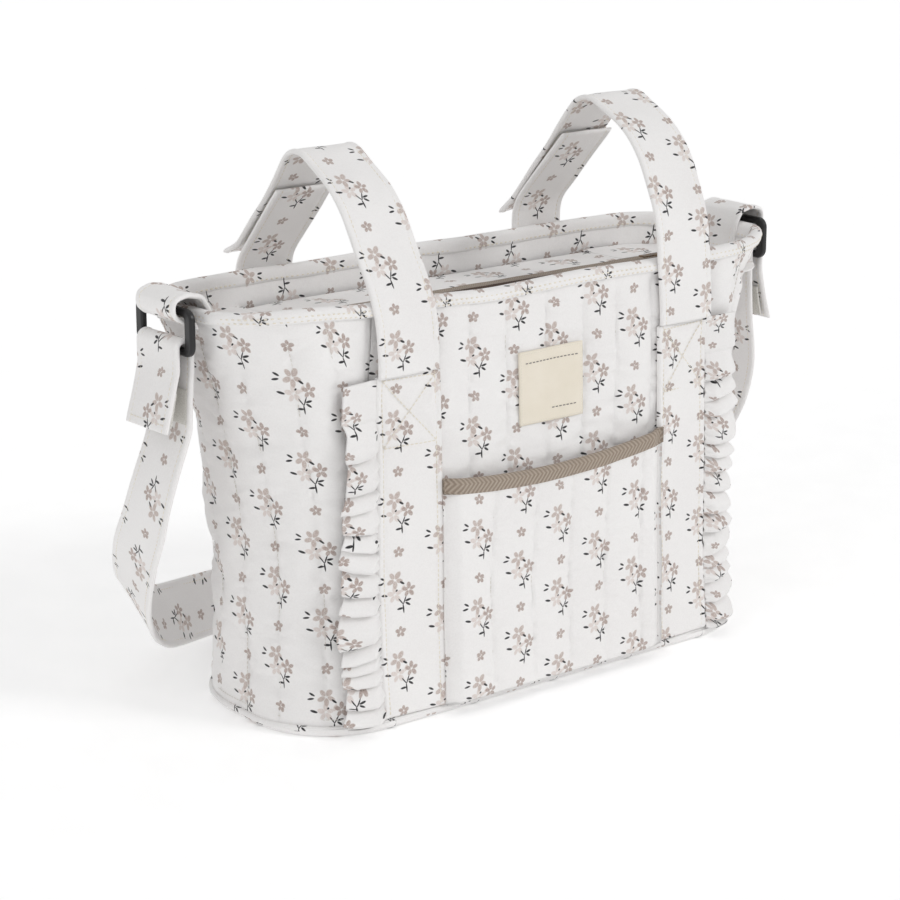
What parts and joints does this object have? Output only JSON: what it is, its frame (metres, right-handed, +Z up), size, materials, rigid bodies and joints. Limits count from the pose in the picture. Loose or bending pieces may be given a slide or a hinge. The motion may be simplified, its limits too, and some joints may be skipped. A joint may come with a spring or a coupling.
{
  "type": "diaper bag",
  "caption": "Quilted floral tote with a zipped mouth, front slip pocket, ruffled bands, two hook-and-loop handles and a shoulder strap on plastic rings",
  "frame": {"origin": "middle of the base, on the ground", "axes": "+X along the front towards the right end seen from the front, front faces -Y, +Z up"},
  "size_m": [0.5266, 0.2525, 0.3845],
  "materials": {
    "printed_cotton": "printed woven cotton, quilted",
    "printed_strap": "printed woven cotton webbing, topstitched",
    "lining_cotton": "plain woven cotton",
    "taupe_tape": "herringbone twill tape",
    "label_cotton": "plain cream cotton",
    "hook_loop": "hook-and-loop fastener",
    "zip_coil": "moulded nylon coil",
    "zip_metal": "antique metal",
    "ring_plastic": "moulded black plastic",
    "board": "stiffener board"
  },
  "bodies": {
    "bag": {"bottom_panel": "printed_cotton", "front_panel": "printed_cotton", "back_panel": "printed_cotton", "left_side_panel": "printed_cotton", "right_side_panel": "printed_cotton", "rim_hem": "printed_cotton", "rim_facing": "printed_cotton", "lining": "lining_cotton", "base_board": "board", "pocket_panel": "printed_cotton", "pocket_tape": "taupe_tape", "label": "label_cotton", "bottom_piping": "printed_cotton", "front_band_left": "printed_strap", "front_band_right": "printed_strap", "back_band_left": "printed_strap", "back_band_right": "printed_strap", "ruffle_left": "printed_cotton", "ruffle_right": "printed_cotton", "tab_left": "printed_strap", "tab_right": "printed_strap", "handle_back_left": "printed_strap", "handle_loop_left": "hook_loop", "handle_back_right": "printed_strap", "handle_loop_right": "hook_loop", "zip_end_left": "printed_cotton", "zip_end_right": "printed_cotton", "zip_tail_left": "taupe_tape", "zip_tail_right": "taupe_tape"},
    "mouth_front": {"zip_strip_front": "printed_cotton", "zip_tape_front": "taupe_tape", "zip_coil_front": "zip_coil"},
    "mouth_back": {"zip_strip_back": "printed_cotton", "zip_tape_back": "taupe_tape", "zip_coil_back": "zip_coil"},
    "slider": {"zip_slider": "zip_metal"},
    "pull": {"zip_pull": "zip_metal"},
    "handle_left": {"handle_front_left": "printed_strap", "handle_hook_left": "hook_loop"},
    "handle_right": {"handle_front_right": "printed_strap", "handle_hook_right": "hook_loop"},
    "left_ring": {"ring_left": "ring_plastic"},
    "right_ring": {"ring_right": "ring_plastic"},
    "strap": {"shoulder_strap": "printed_strap", "strap_hook_left": "hook_loop", "strap_hook_right": "hook_loop", "strap_loop_left": "hook_loop", "strap_loop_right": "hook_loop"}
  },
  "joints": [
    {"name": "mouth_front_opens", "type": "hinge", "parent": "bag", "child": "mouth_front", "pos_m": [0, -0.0655, 0.258], "axis": [1, 0, 0], "range_deg": [0, 60]},
    {"name": "mouth_back_opens", "type": "hinge", "parent": "bag", "child": "mouth_back", "pos_m": [0, 0.0655, 0.258], "axis": [-1, 0, 0], "range_deg": [0, 60]},
    {"name": "zip_slides", "type": "slide", "parent": "bag", "child": "slider", "axis": [-1, 0, 0], "range_m": [0, 0.364]},
    {"name": "zip_pull_lifts", "type": "hinge", "parent": "slider", "child": "pull", "pos_m": [0.182, 0.008, 0.2614], "axis": [0, 1, 0], "range_deg": [0, 170]},
    {"name": "handle_left_opens", "type": "hinge", "parent": "bag", "child": "handle_left", "pos_m": [-0.121, -0.08, 0.234], "axis": [1, 0, 0], "range_deg": [0, 140]},
    {"name": "handle_right_opens", "type": "hinge", "parent": "bag", "child": "handle_right", "pos_m": [0.121, -0.08, 0.234], "axis": [1, 0, 0], "range_deg": [0, 140]},
    {"name": "left_ring_swings", "type": "hinge", "parent": "bag", "child": "left_ring", "pos_m": [-0.249, 0.003, 0.2815], "axis": [0, 1, 0], "range_deg": [-15, 15]},
    {"name": "right_ring_swings", "type": "hinge", "parent": "bag", "child": "right_ring", "pos_m": [0.249, 0.003, 0.2815], "axis": [0, 1, 0], "range_deg": [-15, 15]},
    {"name": "strap_swings", "type": "hinge", "parent": "left_ring", "child": "strap", "pos_m": [-0.249, 0.003, 0.2565], "axis": [0, 1, 0], "range_deg": [-15, 15]}
  ],
  "couplings": [
    {"joint": "mouth_back_opens", "follows": "mouth_front_opens", "ratio": 1},
    {"joint": "right_ring_swings", "follows": "left_ring_swings", "ratio": 1},
    {"joint": "strap_swings", "follows": "left_ring_swings", "ratio": -1}
  ]
}
